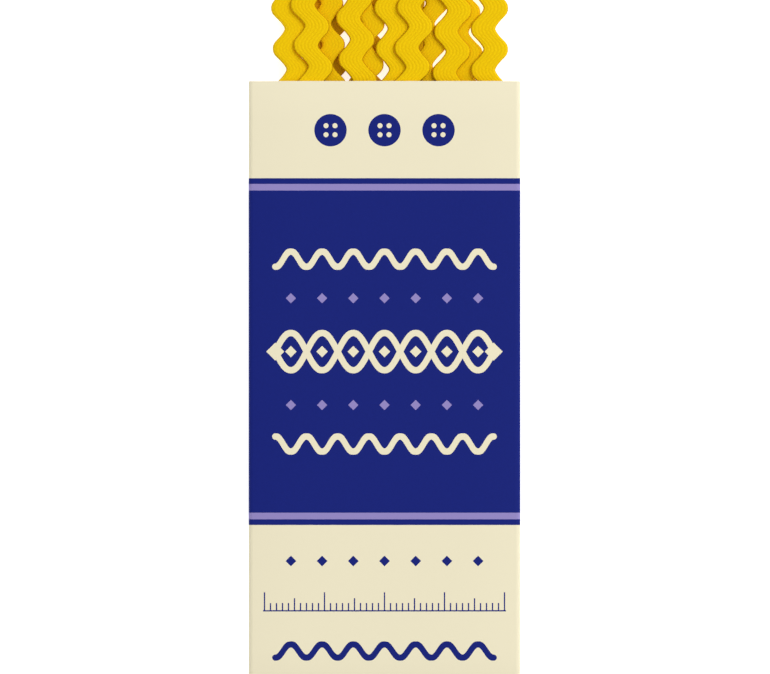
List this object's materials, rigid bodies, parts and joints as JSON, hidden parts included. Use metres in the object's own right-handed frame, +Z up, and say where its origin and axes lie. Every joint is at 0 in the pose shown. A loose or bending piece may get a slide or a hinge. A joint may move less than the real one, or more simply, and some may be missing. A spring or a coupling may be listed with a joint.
{
  "type": "banded hank of ric rac",
  "caption": "Flat hank of wavy baby ric rac braid, wound to and fro and held round the middle by a printed card band.",
  "frame": {"origin": "on the surface it lies on, under the middle of the card band", "axes": "+Z up out of the band's printed face, +Y along the braid towards the top of the print, +X to its right"},
  "size_m": [0.0452, 0.2845, 0.0052],
  "materials": {
    "ric_rac": "flat braided yellow yarn in fine ridges",
    "card": "smooth printed card, cream with a dark blue panel"
  },
  "bodies": {
    "root": {"hank": "ric_rac", "card_band": "card"}
  },
  "joints": []
}
